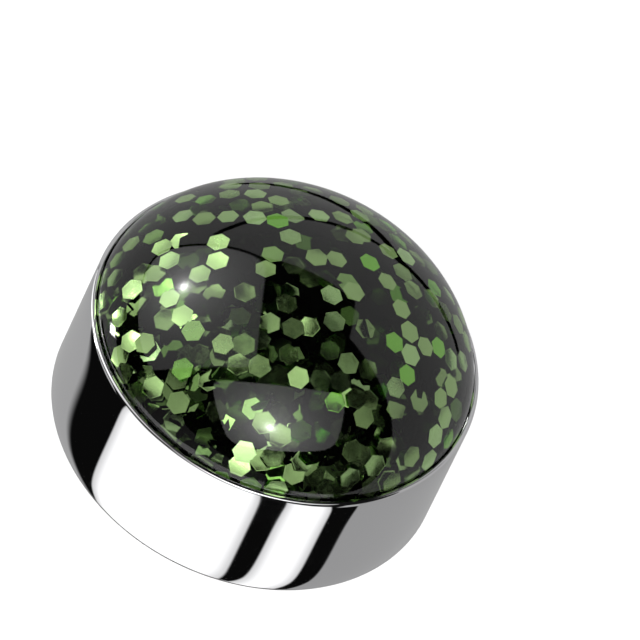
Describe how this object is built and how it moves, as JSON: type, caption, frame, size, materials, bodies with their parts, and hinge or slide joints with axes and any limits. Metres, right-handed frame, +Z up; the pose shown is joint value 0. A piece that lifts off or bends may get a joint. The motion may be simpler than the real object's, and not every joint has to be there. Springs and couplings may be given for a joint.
{
  "type": "dermal anchor top",
  "caption": "Screw-on top of a dermal anchor: a polished steel cup with a threaded post on its flat back, filled with a clear resin dome over green glitter on black.",
  "frame": {"origin": "middle of the bounding box's underside, on the surface that the top rests on", "axes": "+Z up, with the dome leaning 40 degrees from +Z towards -Y as the top lies by itself; +X across the cup, level"},
  "size_m": [0.005, 0.005, 0.0048],
  "materials": {
    "polished_steel": "mirror-polished stainless steel",
    "black_coat": "plain black coat under the resin",
    "clear_resin": "clear cast resin, glossy, holding loose green glitter",
    "green_glitter": "shiny green hexagonal flakes"
  },
  "bodies": {
    "root": {"steel_cup": "polished_steel", "black_ground": "black_coat", "resin_dome": "clear_resin"}
  },
  "joints": []
}
